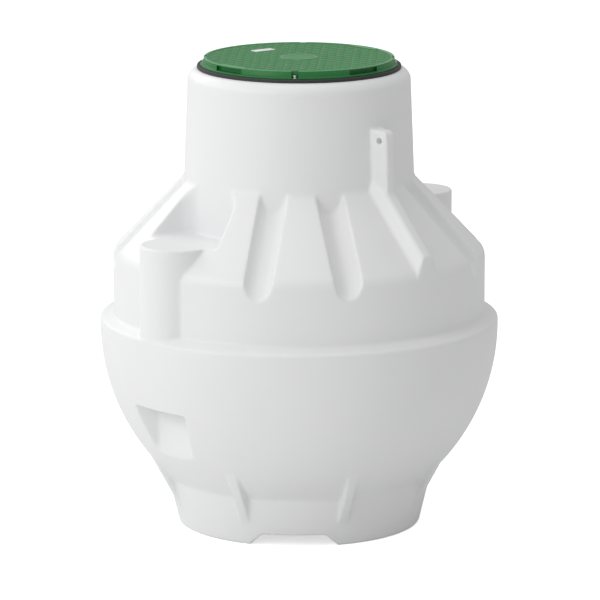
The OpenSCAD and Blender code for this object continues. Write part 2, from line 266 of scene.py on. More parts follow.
def combine(base: bpy.types.Object, how: Cut, parts: Iterable[bmesh.types.BMesh]) -> None:
    """Joins closed shapes to a solid, or takes them away from it.

    Args:
        base: The solid that is changed.
        how: Whether the shapes are joined, taken away or kept in common.
        parts: The shapes, which are used up.
    """
    for part in parts:
        tool = stand_in(part, "tool")
        mod = base.modifiers.new("combine", "BOOLEAN")
        mod.solver, mod.operation, mod.object = "MANIFOLD", how.value, tool
        settle(base)
        mesh = tool.data
        bpy.data.objects.remove(tool)
        bpy.data.meshes.remove(mesh)


def smooth_below(piece: bpy.types.Object, angle: float) -> None:
    """Shades a piece smooth, but keeps edges that turn by more than the angle in degrees crisp."""
    piece.data.shade_smooth()
    piece.data.set_sharp_from_angle(angle=math.radians(angle))


# ---------------------------------------------------------------- material sums


class Value:
    """One number of a material, which takes part in Python sums."""

    def __init__(self, graph: "Graph", socket: bpy.types.NodeSocket) -> None:
        """Args: graph is the material it belongs to, socket the node output that gives it."""
        self.graph, self.socket = graph, socket

    def _sum(self, operation: str, first: Any, second: Any) -> "Value":
        """Adds the Math node for one step of a sum."""
        return self.graph.value("ShaderNodeMath", {"operation": operation}, {0: first, 1: second})

    def __add__(self, other: Any) -> "Value":
        """Self plus other."""
        return self._sum("ADD", self, other)

    __radd__ = __add__

    def __mul__(self, other: Any) -> "Value":
        """Self times other."""
        return self._sum("MULTIPLY", self, other)

    __rmul__ = __mul__


class Graph:
    """The node tree of one material."""

    def __init__(self, name: str) -> None:
        """Args: name is the name of the new material."""
        self.material = bpy.data.materials.new(name)
        self.material.use_nodes = True
        self.tree = self.material.node_tree
        self.tree.nodes.clear()

    def node(self, kind: str, settings: dict[str, Any] | None = None,
             inputs: dict[Any, Any] | None = None) -> bpy.types.Node:
        """Adds one node.

        Args:
            kind: The node's type.
            settings: Its own settings; "stops" gives a ramp's positions and colours.
            inputs: Values or links of its sockets, by name or number.

        Returns:
            The node.
        """
        made = self.tree.nodes.new(kind)
        for key, setting in (settings or {}).items():
            if key == "stops":
                ramp = made.color_ramp
                while len(ramp.elements) < len(setting):
                    ramp.elements.new(0.5)
                for element, (position, colour) in zip(ramp.elements, setting):
                    element.position, element.color = position, (*colour, 1.0)
            else:
                setattr(made, key, setting)
        for key, given in (inputs or {}).items():
            socket = made.inputs[key]
            if isinstance(given, Value):
                given = given.socket
            if isinstance(given, bpy.types.NodeSocket):
                self.tree.links.new(given, socket)
            else:
                socket.default_value = (*given, 1.0) if socket.type == "RGBA" and len(given) == 3 else given
        return made

    def value(self, kind: str, settings: dict[str, Any] | None = None,
              inputs: dict[Any, Any] | None = None, output: Any = 0) -> Value:
        """Adds one node and gives one of its outputs as a number for sums."""
        return Value(self, self.node(kind, settings, inputs).outputs[output])

    def place(self) -> bpy.types.NodeSocket:
        """The point of the surface, in the frame of the model."""
        return self.node("ShaderNodeTexCoord").outputs["Object"]

    def noise(self, scale: float, detail: float = 2.0, rough: float = 0.5) -> Value:
        """Soft random variation.

        Args:
            scale: Waves per metre.
            detail: Number of finer layers.
            rough: Weight of the finer layers.

        Returns:
            A number about 0.5.
        """
        return self.value("ShaderNodeTexNoise", None,
                          {"Vector": self.place(), "Scale": scale, "Detail": detail, "Roughness": rough})

    def blend(self, share: Any, first: Any, second: Any) -> bpy.types.NodeSocket:
        """Mixes two colours by a share from 0 to 1."""
        made = self.node("ShaderNodeMix", {"data_type": "RGBA"}, {0: share})
        for index, given in ((6, first), (7, second)):
            if isinstance(given, bpy.types.NodeSocket):
                self.tree.links.new(given, made.inputs[index])
            else:
                made.inputs[index].default_value = (*given, 1.0)
        return made.outputs[2]

    def bump(self, height: Value, depth: float, strength: float = 1.0,
             under: bpy.types.NodeSocket | None = None) -> bpy.types.NodeSocket:
        """Turns a height into fine relief.

        Args:
            height: Height from 0 to 1.
            depth: What a height of 1 measures, in metres.
            strength: Share of the relief that shows.
            under: Relief that this one lies on.

        Returns:
            The normal.
        """
        inputs = {"Height": height, "Distance": depth, "Strength": strength}
        if under is not None:
            inputs["Normal"] = under
        return self.node("ShaderNodeBump", None, inputs).outputs[0]

    def finish(self, **sockets: Any) -> bpy.types.Material:
        """Ends the material in one surface shader whose sockets are named with _ for a space."""
        shader = self.node("ShaderNodeBsdfPrincipled", None,
                           {key.replace("_", " "): given for key, given in sockets.items()})
        self.node("ShaderNodeOutputMaterial", None, {"Surface": shader.outputs[0]})
        return self.material


# ---------------------------------------------------------------- finishes


@dataclass(frozen=True)
class MouldedShell:
    """White moulded plastic with a soft sheen and a fine skin from the mould."""

    colour: Colour = (0.83, 0.83, 0.835)
    shade: Colour = (0.79, 0.795, 0.80)
    roughness: float = 0.46
    skin_scale: float = 260.0
    skin_depth: float = 0.00025
    wave_scale: float = 5.0
    wave_depth: float = 0.0016

    def make(self) -> bpy.types.Material:
        """Makes the material: cloudy white, a slow waviness of the wall and the grain of the mould."""
        graph = Graph("moulded_shell")
        cloud = graph.noise(2.2, 3.0)
        speck = graph.noise(90.0, 2.0)
        colour = graph.blend(cloud * 0.7 + speck * 0.3, self.shade, self.colour)
        waves = graph.bump(graph.noise(self.wave_scale, 1.0), self.wave_depth, 0.5)
        skin = graph.bump(graph.noise(self.skin_scale, 2.0), self.skin_depth, 0.35, waves)
        rough = graph.noise(14.0, 2.0) * 0.1 + (self.roughness - 0.05)
        return graph.finish(Base_Color=colour, Roughness=rough, Normal=skin, IOR=1.5)


@dataclass(frozen=True)
class CoverPlastic:
    """Green moulded plastic of the cover, with a painted highlight on all that stands out of the plate."""

    colour: Colour = (0.009, 0.155, 0.028)
    worn: Colour = (0.020, 0.200, 0.050)
    # Painted highlight: paler green for the lug crowns, pads, middle disc and raised edge
    painted_highlight: Colour = (0.095, 0.340, 0.125)
    roughness: float = 0.42
    # Heights above the plate over which the painted highlight fades in
    highlight_from: float = 2.2478
    highlight_to: float = 2.2492

    def make(self) -> bpy.types.Material:
        """Makes the material: green with a soft bloom, and a painted highlight of paler green where it stands
        out of the plate.
        """
        graph = Graph("cover_plastic")
        bloom = graph.noise(16.0, 4.0, 0.6)
        speck = graph.noise(240.0, 2.0)
        ground = graph.blend(bloom * 0.6 + speck * 0.25, self.colour, self.worn)
        # Painted highlight: all that stands out of the plate is mixed towards the paler green, standing in
        # for the gleam of light on raised edges
        height = graph.value("ShaderNodeSeparateXYZ", None, {0: graph.place()}, "Z")
        raised = graph.value("ShaderNodeMapRange", None, {"Value": height, "From Min": self.highlight_from,
                                                          "From Max": self.highlight_to})
        colour = graph.blend(raised * (bloom * 0.5 + 0.65), ground, self.painted_highlight)
        grain = graph.bump(graph.noise(520.0, 2.0), 0.0003, 0.4)
        rough = graph.noise(30.0, 2.0) * 0.12 + (self.roughness - 0.06)
        return graph.finish(Base_Color=colour, Roughness=rough, Normal=grain, IOR=1.5)


@dataclass(frozen=True)
class SealRubber:
    """Black rubber of the ring between neck and cover."""

    colour: Colour = (0.018, 0.018, 0.020)
    dusty: Colour = (0.045, 0.045, 0.047)

    def make(self) -> bpy.types.Material:
        """Makes the material: dull black with a trace of dust and fine pores."""
        graph = Graph("seal_rubber")
        dust = graph.noise(60.0, 4.0, 0.65)
        pores = graph.bump(graph.noise(900.0, 2.0), 0.0004, 0.5)
        return graph.finish(Base_Color=graph.blend(dust, self.colour, self.dusty),
                            Roughness=dust * 0.2 + 0.5, Normal=pores, IOR=1.48)


@dataclass(frozen=True)
class PlainMetal:
    """Turned or rolled bare metal."""

    name: str
    colour: Colour
    tarnish: Colour
    roughness: float

    def make(self) -> bpy.types.Material:
        """Makes the material: metal with fine brushed rings and a slight tarnish."""
        graph = Graph(self.name)
        tarnish = graph.noise(300.0, 3.0)
        wave = {"Vector": graph.place(), "Scale": 700.0, "Distortion": 1.5, "Detail": 2.0}
        rings = graph.value("ShaderNodeTexWave", {"wave_type": "RINGS", "rings_direction": "Z"}, wave, "Fac")
        return graph.finish(Base_Color=graph.blend(tarnish, self.colour, self.tarnish), Metallic=1.0,
                            Roughness=rings * 0.12 + self.roughness,
                            Normal=graph.bump(rings, 0.00005, 0.5))


@dataclass(frozen=True)
class PlateFilm:
    """The bare white plate on the cover."""

    colour: Colour = (0.93, 0.93, 0.92)
    edge: Colour = (0.84, 0.85, 0.84)

    def make(self) -> bpy.types.Material:
        """Makes the material: satin white film with faint blisters."""
        graph = Graph("plate_film")
        mottle = graph.noise(120.0, 3.0)
        blister = graph.bump(graph.noise(70.0, 1.0), 0.0004, 0.5)
        return graph.finish(Base_Color=graph.blend(mottle, self.edge, self.colour),
                            Roughness=mottle * 0.15 + 0.3, Normal=blister)


# ---------------------------------------------------------------- the pieces


@dataclass
class Piece:
    """A finished piece with all that the model has to know about it."""

    made: bpy.types.Object
    body: Body
    slot: str
    material: bpy.types.Material
    stands_for: tuple[str, ...] = ()

    def hand_over(self) -> None:
        self.made.data.materials.clear()
        self.made.data.materials.append(self.material)
        if self.stands_for:
            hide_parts(*self.stands_for)
        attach(self.made, self.body.value)
        LOG.info("%s: %d faces, rides on %s", self.made.name, len(self.made.data.polygons), self.body.value)


@dataclass
class Moulding:
    """The seamless white shell: foot, bowl, rim, fluted shoulder, bosses, lifting ribs and neck."""

    rim_r: float = 0.9527
    foot_draft: float = 0.058
    foot_h: float = 0.240
    channel_h: float = 0.057
    channel_w: float = 0.300
    channel_flank: float = 0.056
    channel_edge: float = 0.024
    gussets: int = 8
    gusset_t: float = 0.050
    gusset_drop: float = 0.136
    gusset_h: float = 0.282
    bowl_h: float = 0.732
    bowl_arc: float = 0.993
    bowl_angle: float = 41.5
    rim_h: float = 0.030
    rim_edge: float = 0.010
    ledge_rise: float = 0.028
    pocket_drop: float = 0.309
    pocket_w: float = 0.244
    pocket_depth: float = 0.167
    pocket_flare: float = 29.0
    ledge_w: float = 0.064
    band_h: float = 0.293
    cone_h: float = 0.358
    corner_arc: float = 0.084
    neck_fillet: float = 0.048
    flute_r: float = 0.067
    flute_depth: float = 0.057
    flute_pitch: float = 27.5
    neck_r: float = 0.549
    neck_draft: float = 0.019
    neck_h: float = 0.474
    neck_edge: float = 0.043
    neck_turn: float = 18.0
    collar_w: float = 0.130
    boss_angle: float = -45.0
    boss_r: float = 0.172
    boss_set: float = 0.003
    outlet_h: float = 0.415
    inlet_h: float = 0.485
    recess_angle: float = 17.5
    recess_fillet: float = 0.095
    rib_t: float = 0.080
    rib_face: float = 0.054
    rib_out: float = 0.090
    rib_h: float = 0.289
    rib_edge: float = 0.010
    rib_low_t: float = 0.124
    rib_low_face: float = 0.056
    rib_low_out: float = 0.060
    rib_low_edge: float = 0.018
    rib_top: float = 0.026
    eye_r: float = 0.013
    eye_drop: float = 0.049
    eye_out: float = 0.048
    wall: float = 0.010
    insert_at: float = 0.456
    insert_r: float = 0.009
    insert_l: float = 0.030
    insert_wall: float = 0.007
    lip: float = 0.004
    turn_steps: int = 512
    grid: float = 0.0075
    softening: int = 3
    ground_gap: float = 0.00001
    bowl_seam: float = 0.2
    seam_z: float = 0.030
    collar_seam: float = 0.014

    @property
    def rim_z(self) -> float:
        """Height of the lower edge of the rim."""
        return self.foot_h + self.bowl_h

    @property
    def ledge_z(self) -> float:
        """Height of the top of the ledge."""
        return self.rim_z + self.rim_h + self.ledge_rise

    @property
    def corner_z(self) -> float:
        """Height of the sharp corner of band and cone."""
        return self.ledge_z + self.band_h

    @property
    def neck_z(self) -> float:
        """Height of the foot of the neck."""
        return self.corner_z + self.cone_h

    @property
    def edge_z(self) -> float:
        """Height at which the top edge of the neck starts to round."""
        return self.neck_z + self.neck_h

    @property
    def top_z(self) -> float:
        """Height of the flat top of the neck."""
        return self.edge_z + self.neck_edge

    @property
    def band_r(self) -> float:
        """Radius of the upright band."""
        return self.rim_r - self.ledge_w

    @property
    def neck_top_r(self) -> float:
        """Radius of the neck under its top edge."""
        return self.neck_r - self.neck_draft

    @property
    def edge_arc(self) -> float:
        """Radius of the neck's top edge, which leaves the wall and meets the top at an angle."""
        turn = math.radians(self.neck_turn)
        return self.neck_edge / (math.cos(turn) - math.sin(turn))

    @property
    def slope(self) -> float:
        """Slope of the cone in degrees."""
        return math.degrees(math.atan2(self.cone_h, self.band_r - self.neck_r))

    @property
    def taper(self) -> float:
        """Inward lean of the neck for each metre of height."""
        return self.neck_draft / self.neck_h

    @property
    def arc_end(self) -> Point:
        """The point where the bowl's arc gives way to the straight wall."""
        lean, radius = math.radians(self.bowl_angle), self.bowl_arc
        return self.rim_r - radius * (1 - math.cos(lean)), self.rim_z - radius * math.sin(lean)

    @property
    def crease_r(self) -> float:
        """Radius of the crease between foot and bowl."""
        r, z = self.arc_end
        return r - (z - self.foot_h) * math.tan(math.radians(self.bowl_angle))

    @property
    def foot_r(self) -> float:
        """Radius of the foot on the ground."""
        return self.crease_r - self.foot_draft

    @property
    def flute_angles(self) -> list[float]:
        """The angle of each flute: two on either side of both lifting ribs."""
        return [rib + k * self.flute_pitch for rib in reversed(self.rib_angles) for k in (-2, -1, 1, 2)]

    def edge(self, inset: float = 0.0) -> list[Point]:
        """Rounded top edge of the neck, from its wall to the flat top, moved inwards by the inset."""
        turn, radius = math.radians(self.neck_turn), self.edge_arc
        centre = (self.neck_top_r - radius * math.cos(turn), self.edge_z - radius * math.sin(turn))
        return arc(centre, radius - inset, self.neck_turn, 90.0 - self.neck_turn, 16)

    def outline(self) -> list[Point]:
        """Half outline of the shell from the ground up to the end of the neck's rounded edge."""
        rim, ledge = (self.rim_r, self.rim_z + self.rim_h), (self.band_r, self.ledge_z)
        corner, neck = (self.band_r, self.corner_z), (self.neck_r, self.neck_z)
        top = (self.neck_top_r, self.edge_z)
        return [(self.foot_r, 0.0), (self.crease_r, self.foot_h),
                *arc((self.rim_r - self.bowl_arc, self.rim_z), self.bowl_arc, -self.bowl_angle, 0.0, 40),
                *rounded((self.rim_r, self.rim_z), rim, ledge, self.rim_edge, 6), ledge,
                *rounded(ledge, corner, neck, self.corner_arc, 24),
                *rounded(corner, neck, top, self.neck_fillet, 14), *self.edge()]

    def bowl_at(self, z: float) -> float:
        """Radius of the bowl's outside at a height."""
        if z < self.arc_end[1]:
            return self.crease_r + (z - self.foot_h) * math.tan(math.radians(self.bowl_angle))
        return self.rim_r - self.bowl_arc + math.sqrt(self.bowl_arc ** 2 - (self.rim_z - z) ** 2)

    def flute(self, angle: float) -> bmesh.types.BMesh:
        """Round cutter of one flute, running down the cone."""
        start = 3 * self.flute_r
        place = (turned(angle) @ Matrix.Translation((0, -self.neck_r, self.neck_z))
                 @ Matrix.Rotation(math.radians(90 + self.slope), 4, "X")
                 @ Matrix.Translation((0, self.flute_r - self.flute_depth, -start)))
        return drum(self.flute_r, self.band_r - self.neck_r + self.cone_h + 2 * start, place)

    def recess(self, angle: float, shelf_z: float) -> bmesh.types.BMesh:
        """Wedge cut into the shoulder above a shelf, its upright corners at the neck rounded."""
        # The rounding ends this far inside the neck
        overlap = 0.003
        out, run = self.neck_r - overlap + self.recess_fillet, 1.2 * self.rim_r
        lean = math.radians(self.recess_angle) - math.asin(self.recess_fillet / out)
        half, depth = run * math.tan(math.radians(self.recess_angle)), self.top_z - shelf_z
        side = arc((out * math.sin(lean), -out * math.cos(lean)), self.recess_fillet,
                   self.recess_angle, 90 + math.degrees(lean), 14)
        return prism([(half, -run), *side, *[(-x, y) for x, y in reversed(side)], (-half, -run)], depth,
                     turned(angle) @ Matrix.Translation(UP * (shelf_z + depth / 2)))

    def pocket(self, angle: float) -> bmesh.types.BMesh:
        """Pocket in the side of the bowl."""
        depth = self.pocket_depth + 4 * self.wall
        half, back = self.pocket_w / 2, self.rim_r - self.pocket_depth
        wide = half + depth * math.tan(math.radians(self.pocket_flare))
        low, high = self.arc_end[1] - 4 * self.wall, self.rim_z - self.pocket_drop
        outline = [(-half, -back), (half, -back), (wide, -back - depth), (-wide, -back - depth)]
        return prism(outline, high - low, turned(angle) @ Matrix.Translation(UP * (low + high) / 2))

    def channel(self) -> bmesh.types.BMesh:
        """Sling channel across the underside, from front to back."""
        half, low = self.channel_w / 2, -self.wall
        run = self.channel_flank * (self.channel_h - low) / self.channel_h
        side = rounded((half + run, low), (half, self.channel_h), (0.0, self.channel_h), self.channel_edge)
        outline = [(half + run, low), *side, *[(-x, z) for x, z in reversed(side)], (-half - run, low)]
        return prism(outline, 3 * self.foot_r, Matrix.Rotation(math.radians(90), 4, "X"))

    def core(self) -> bmesh.types.BMesh:
        """The neck carried on down to the shelves, a hair inside the neck itself."""
        low, hair = self.ledge_z + self.outlet_h - 6 * self.wall, 0.0001
        return drum(self.neck_r - hair + (self.neck_z - low) * self.taper, self.edge_z - low,
                    Matrix.Translation(UP * low), self.neck_top_r - hair, self.turn_steps)

    def boss(self, angle: float, shelf_z: float) -> bmesh.types.BMesh:
        """Round boss that stands on the ledge and carries a shelf."""
        place = Matrix.Translation((0, -self.rim_r + self.boss_set + self.boss_r, self.rim_z))
        return drum(self.boss_r, shelf_z - self.rim_z, turned(angle) @ place, sides=160)

    def limb(self, thick: float, face: float, height: float, edge: float) -> list[Point]:
        """Cross-section of one limb of a rib: sideways and outwards from the wall, closed inside it."""
        base = 0.4 * self.rib_out
        foot = face / 2 + (thick - face) / 2 / height * (height + base)
        right = rounded((foot, -base), (face / 2, height), (-face / 2, height), edge, 6)
        return [(foot, -base), *right, *[(-x, y) for x, y in reversed(right)], (-foot, -base)]

    def rib(self, angle: float) -> list[bmesh.types.BMesh]:
        """Lifting rib: an upright limb down the neck and a wider, lower one down the cone."""
        lean, slope = math.atan(self.taper), math.radians(self.slope)
        top = self.neck_z + self.rib_h
        reach = 1 / math.cos(lean) / (math.cos(slope) - math.sin(slope) * self.taper)

        def station(origin: Sequence[float], out: Sequence[float]) -> Matrix:
            """The matrix that lays the section out sideways and along one outward direction."""
            side, outward = Vector((1, 0, 0)), Vector(out)
            made = Matrix((side, outward, side.cross(outward))).transposed().to_4x4()
            made.translation = Vector(origin)
            return turned(angle) @ made

        def on_cone(along: float) -> tuple[float, float, float]:
            """A point of the cone under the middle of the rib, so far down from the foot of the neck."""
            return 0.0, -self.neck_r - along * math.cos(slope), self.neck_z - along * math.sin(slope)

        high = station((0, -self.neck_r + self.rib_h * self.taper, top), (0, -1 / math.cos(lean), 0))
        foot = station(on_cone(0.0), (0, -reach * math.cos(slope), -reach * math.sin(slope)))
        out = (0, -math.sin(slope), math.cos(slope))
        start = station(on_cone(-1.2 * self.rib_out), out)
        end = station(on_cone((self.band_r - self.neck_r) / math.cos(slope) + self.rib_out), out)
        upright = self.limb(self.rib_t, self.rib_face, self.rib_out, self.rib_edge)
        low = self.limb(self.rib_low_t, self.rib_low_face, self.rib_low_out, self.rib_low_edge)
        return [swept(upright, high, foot), swept(low, start, end)]

    def rib_side(self, angle: float) -> bmesh.types.BMesh:
        """Side view of a rib, wide enough for all of it but its rounded top corner."""
        top, step, wide = self.neck_z + self.rib_h, self.rib_h / 2, 2 * self.rim_r
        face = self.neck_r - self.rib_h * self.taper + self.rib_out
        knee = (face + step * self.taper, top - step)
        outline = [(0.0, self.ledge_z), (wide, self.ledge_z), (wide, top - step), knee,
                   *rounded(knee, (face, top), (0.0, top), self.rib_top), (0.0, top)]
        return prism(outline, 3 * self.rib_t, turned(angle) @ SIDE_ON)

    def gusset(self, angle: float) -> bmesh.types.BMesh:
        """Upright web between foot and bowl."""
        low_z = self.foot_h - self.gusset_drop
        high_z = low_z + self.gusset_h
        low = self.foot_r + (self.crease_r - self.foot_r) * low_z / self.foot_h
        outline = [(low - self.foot_draft, low_z), (low, low_z), (self.bowl_at(high_z), high_z),
                   (low - self.foot_draft, high_z)]
        return prism(outline, self.gusset_t, turned(angle) @ SIDE_ON)

    def eye(self, angle: float) -> bmesh.types.BMesh:
        """Cutter of a lifting eye, wider at both mouths for a soft edge."""
        z = self.neck_z + self.rib_h - self.eye_drop
        at = self.neck_r - (self.rib_h - self.eye_drop) * self.taper + self.eye_out
        half, mouth, soft = self.rib_t, self.rib_face / 2, 0.003
        wide = self.eye_r + soft
        outline = [(0.0, -half), (wide, -half), (wide, -mouth - soft), (self.eye_r, -mouth + soft),
                   (self.eye_r, mouth - soft), (wide, mouth + soft), (wide, half), (0.0, half)]
        shape = revolve(outline, 48)
        bmesh.ops.transform(shape, verts=shape.verts, matrix=turned(angle) @ Matrix.Translation((0, -at, z))
                            @ Matrix.Rotation(math.radians(90), 4, "Y"))
        return tidy(shape)

    @property
    def rib_angles(self) -> tuple[float, float]:
        """The angles of the two lifting ribs."""
        return self.boss_angle + 90, self.boss_angle - 90

    def form(self) -> bpy.types.Object:
        """The closed sharp-edged form of the vessel: all but its ribs and gussets."""
        inlet = self.boss_angle + 180
        shelves = {self.boss_angle: self.ledge_z + self.outlet_h, inlet: self.ledge_z + self.inlet_h}
        skin = stand_in(revolve([(0.0, 0.0), *self.outline(), (0.0, self.top_z)], self.turn_steps), "skin")
        combine(skin, Cut.TAKE_AWAY, [self.flute(a) for a in self.flute_angles])
        combine(skin, Cut.TAKE_AWAY, [self.recess(a, z) for a, z in shelves.items()])
        combine(skin, Cut.TAKE_AWAY, [self.pocket(a) for a in shelves] + [self.channel()])
        combine(skin, Cut.JOIN, [self.core(), *[self.boss(a, z) for a, z in shelves.items()]])
        return skin

    def soften(self, solid: bpy.types.Object, grid: float, inset: float = 0.0) -> None:
        """Lays an even grid over a closed solid and rounds its edges as moulding does.

        Args:
            solid: The solid that is changed.
            grid: Width of one cell of the grid.
            inset: How far the surface then moves inwards.
        """
        remesh = solid.modifiers.new("grid", "REMESH")
        remesh.mode, remesh.use_smooth_shade = "VOXEL", True
        remesh.voxel_size = grid * 1
        soft = solid.modifiers.new("soft", "SMOOTH")
        soft.factor, soft.iterations = 0.5, self.softening
        if inset:
            move = solid.modifiers.new("inset", "DISPLACE")
            move.strength, move.mid_level = -inset, 0.0
        settle(solid)

    def skin(self) -> bpy.types.Object:
        """The whole outside as one closed solid with soft edges."""
        skin = self.form()
        for angle in self.rib_angles:
            upright, low = self.rib(angle)
            rib = stand_in(upright, "rib")
            combine(rib, Cut.JOIN, [low])
            band = drum(self.band_r, self.top_z, Matrix(), sides=self.turn_steps)
            combine(rib, Cut.KEEP_COMMON, [self.rib_side(angle), band])
            combine(skin, Cut.JOIN, [taken(rib)])
        combine(skin, Cut.JOIN, [self.gusset((k + 0.5) * 360 / self.gussets) for k in range(self.gussets)])
        self.soften(skin, self.grid)
        combine(skin, Cut.TAKE_AWAY, [self.eye(angle) for angle in self.rib_angles])
        return skin

    def throat(self) -> bmesh.types.BMesh:
        """The hollow inside the neck and the manhole, from a little under the seam of shoulder and neck."""
        low, hole, lip = self.neck_z + self.seam_z - 2 * self.wall, self.neck_top_r - self.collar_w, self.lip
        under, flat = self.top_z - self.wall, self.neck_top_r - self.neck_edge
        outline = [(0.0, low), (self.neck_r - (low - self.neck_z) * self.taper - self.wall, low),
                   *self.edge(self.wall),
                   *rounded((flat, under), (hole, under), (hole, self.top_z), lip, 4),
                   *rounded((hole, under), (hole, self.top_z), (flat, self.top_z), lip, 4),
                   (flat, self.top_z + lip), (0.0, self.top_z + lip)]
        return revolve(outline, 256)

    def bores(self, radius: float, depth: float, height: float) -> list[bmesh.types.BMesh]:
        """Four upright cylinders on the axes of the inserts, from so far under the top."""
        place = Matrix.Translation((0, -self.insert_at, self.top_z - depth))
        return [drum(radius, height, turned(angle) @ place, sides=48) for angle in QUARTERS]

    def slices(self, skin: bpy.types.Object) -> dict[str, bpy.types.Object]:
        """Cuts the skin into zones at level planes, the upper two after the neck has been hollowed."""
        zones = {}
        low = self.ground_gap
        for name, high in (("moulded_foot", self.foot_h + self.bowl_seam),
                           ("moulded_bowl", self.rim_z + self.rim_edge), ("moulded_band", self.corner_z),
                           ("moulded_cone", self.neck_z + self.seam_z),
                           ("moulded_neck", self.edge_z - self.collar_seam),
                           ("moulded_collar", self.top_z + self.wall)):
            if name == "moulded_neck":
                depth = self.insert_l + self.insert_wall
                combine(skin, Cut.TAKE_AWAY, [self.throat()])
                sleeve = self.insert_r + self.insert_wall
                combine(skin, Cut.JOIN, self.bores(sleeve, depth, depth - self.wall / 2))
                combine(skin, Cut.TAKE_AWAY, self.bores(self.insert_r, self.insert_l, 2 * self.insert_l))
            shape = bmesh.new()
            shape.from_mesh(skin.data)
            for height, side in ((low, {"clear_inner": True}), (high, {"clear_outer": True})):
                geom = [*shape.verts, *shape.edges, *shape.faces]
                bmesh.ops.bisect_plane(shape, geom=geom, dist=1e-6, plane_co=UP * height, plane_no=UP, **side)
            zones[name] = stand_in(shape, name)
            smooth_below(zones[name], 50)
            low = high
        bpy.data.objects.remove(skin)
        return zones

    def lining(self) -> bpy.types.Object:
        """Inner face of the shell, seen through the manhole: the form again, one wall further in."""
        form = self.form()
        self.soften(form, 2 * self.grid, self.wall)
        shape = taken(form)
        bmesh.ops.bisect_plane(shape, geom=[*shape.verts, *shape.edges, *shape.faces], dist=1e-6,
                               plane_co=UP * (self.neck_z + self.seam_z), plane_no=UP, clear_outer=True)
        bmesh.ops.reverse_faces(shape, faces=shape.faces)
        lining = stand_in(shape, "inner_wall")
        smooth_below(lining, 50)
        return lining

    def build(self, material: bpy.types.Material) -> list[Piece]:
        """Builds and dresses the whole shell."""
        stands_for = {"moulded_foot": ("foot", "gussets"), "moulded_bowl": ("bowl",),
                      "moulded_band": ("rim", "outlet_boss", "inlet_boss"), "moulded_cone": ("shoulder",),
                      "moulded_neck": ("neck", "lifting_rib_right", "lifting_rib_left"),
                      "moulded_collar": ("collar",)}
        pieces = [Piece(made, Body.TANK, "polyethylene", material, stands_for[name])
                  for name, made in self.slices(self.skin()).items()]
        pieces.append(Piece(self.lining(), Body.TANK, "polyethylene", material))
        return pieces


@dataclass
class Seal:
    """The black ring between neck and cover."""

    low_z: float = 2.198
    height: float = 0.016
    outer: float = 0.485
    width: float = 0.061
    lip: float = 0.004
    inner_lip: float = 0.001
    groove: Point = (0.003, 0.0012)
    hole_r: float = 0.0055
    hole_at: float = 0.456

    def build(self, material: bpy.types.Material) -> list[Piece]:
        """Builds the ring with rounded lips, a shallow groove in its outer face and the screw holes."""
        inner, high_z = self.outer - self.width, self.low_z + self.height
        mid = (self.low_z + high_z) / 2
        low_in, low_out = (inner, self.low_z), (self.outer, self.low_z)
        high_in, high_out = (inner, high_z), (self.outer, high_z)
        wide, deep = self.groove
        outline = [*rounded((inner, mid), low_in, low_out, self.inner_lip, 2),
                   *rounded(low_in, low_out, (self.outer, mid), self.lip, 5),
                   (self.outer, mid - wide / 2), (self.outer - deep, mid), (self.outer, mid + wide / 2),
                   *rounded((self.outer, mid), high_out, high_in, self.lip, 5),
                   *rounded(high_out, high_in, (inner, mid), self.inner_lip, 2)]
        ring = stand_in(revolve(outline, 384, ring=True), "seal_ring")
        place = Matrix.Translation((0, -self.hole_at, self.low_z - self.height))
        combine(ring, Cut.TAKE_AWAY, [drum(self.hole_r, 3 * self.height, turned(angle) @ place, sides=32)
                                      for angle in QUARTERS])
        smooth_below(ring, 50)
        return [Piece(ring, Body.TANK, "seal_rubber", material, ("seal",))]


